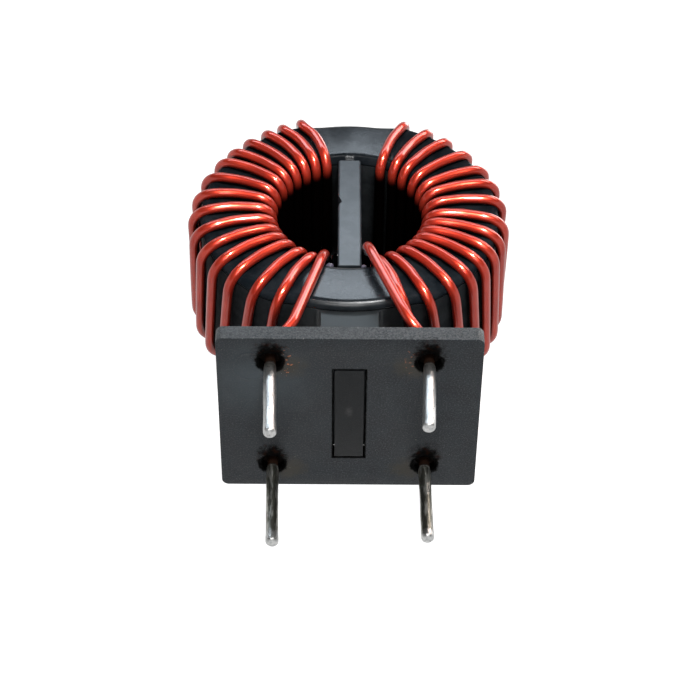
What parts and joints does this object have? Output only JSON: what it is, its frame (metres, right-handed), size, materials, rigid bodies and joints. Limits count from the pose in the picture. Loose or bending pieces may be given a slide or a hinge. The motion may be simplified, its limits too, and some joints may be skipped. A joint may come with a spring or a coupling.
{
  "type": "toroidal inductor",
  "caption": "Upright toroidal common-mode choke: ferrite ring in a plastic case, enamelled wire windings parted by a divider, on a flat base plate with tinned leads.",
  "frame": {"origin": "centre of the base plate's underside, on the plane that seats on the circuit board", "axes": "+Z away from the board, toroid axis along Y, front face -Y, leads point to -Z"},
  "size_m": [0.0328, 0.02, 0.0488],
  "materials": {
    "base_plastic": "dark grey moulded plastic with a fine grain, soot and copper specks round the lead holes",
    "case_plastic": "dark grey moulded plastic, smooth with a satin sheen",
    "divider_plastic": "mid grey moulded strip, satin",
    "ferrite": "sintered dark grey",
    "wire_enamel": "glossy red-brown enamel over copper",
    "tin": "bright dipped tin, slightly uneven"
  },
  "bodies": {
    "root": {"base_plate": "base_plastic", "case_cup": "case_plastic", "case_lid": "case_plastic", "divider": "divider_plastic", "ferrite_core": "ferrite", "winding_left": "wire_enamel", "winding_right": "wire_enamel", "tinned_end_front_left": "tin", "tinned_end_front_right": "tin", "tinned_end_back_left": "tin", "tinned_end_back_right": "tin"}
  },
  "joints": []
}
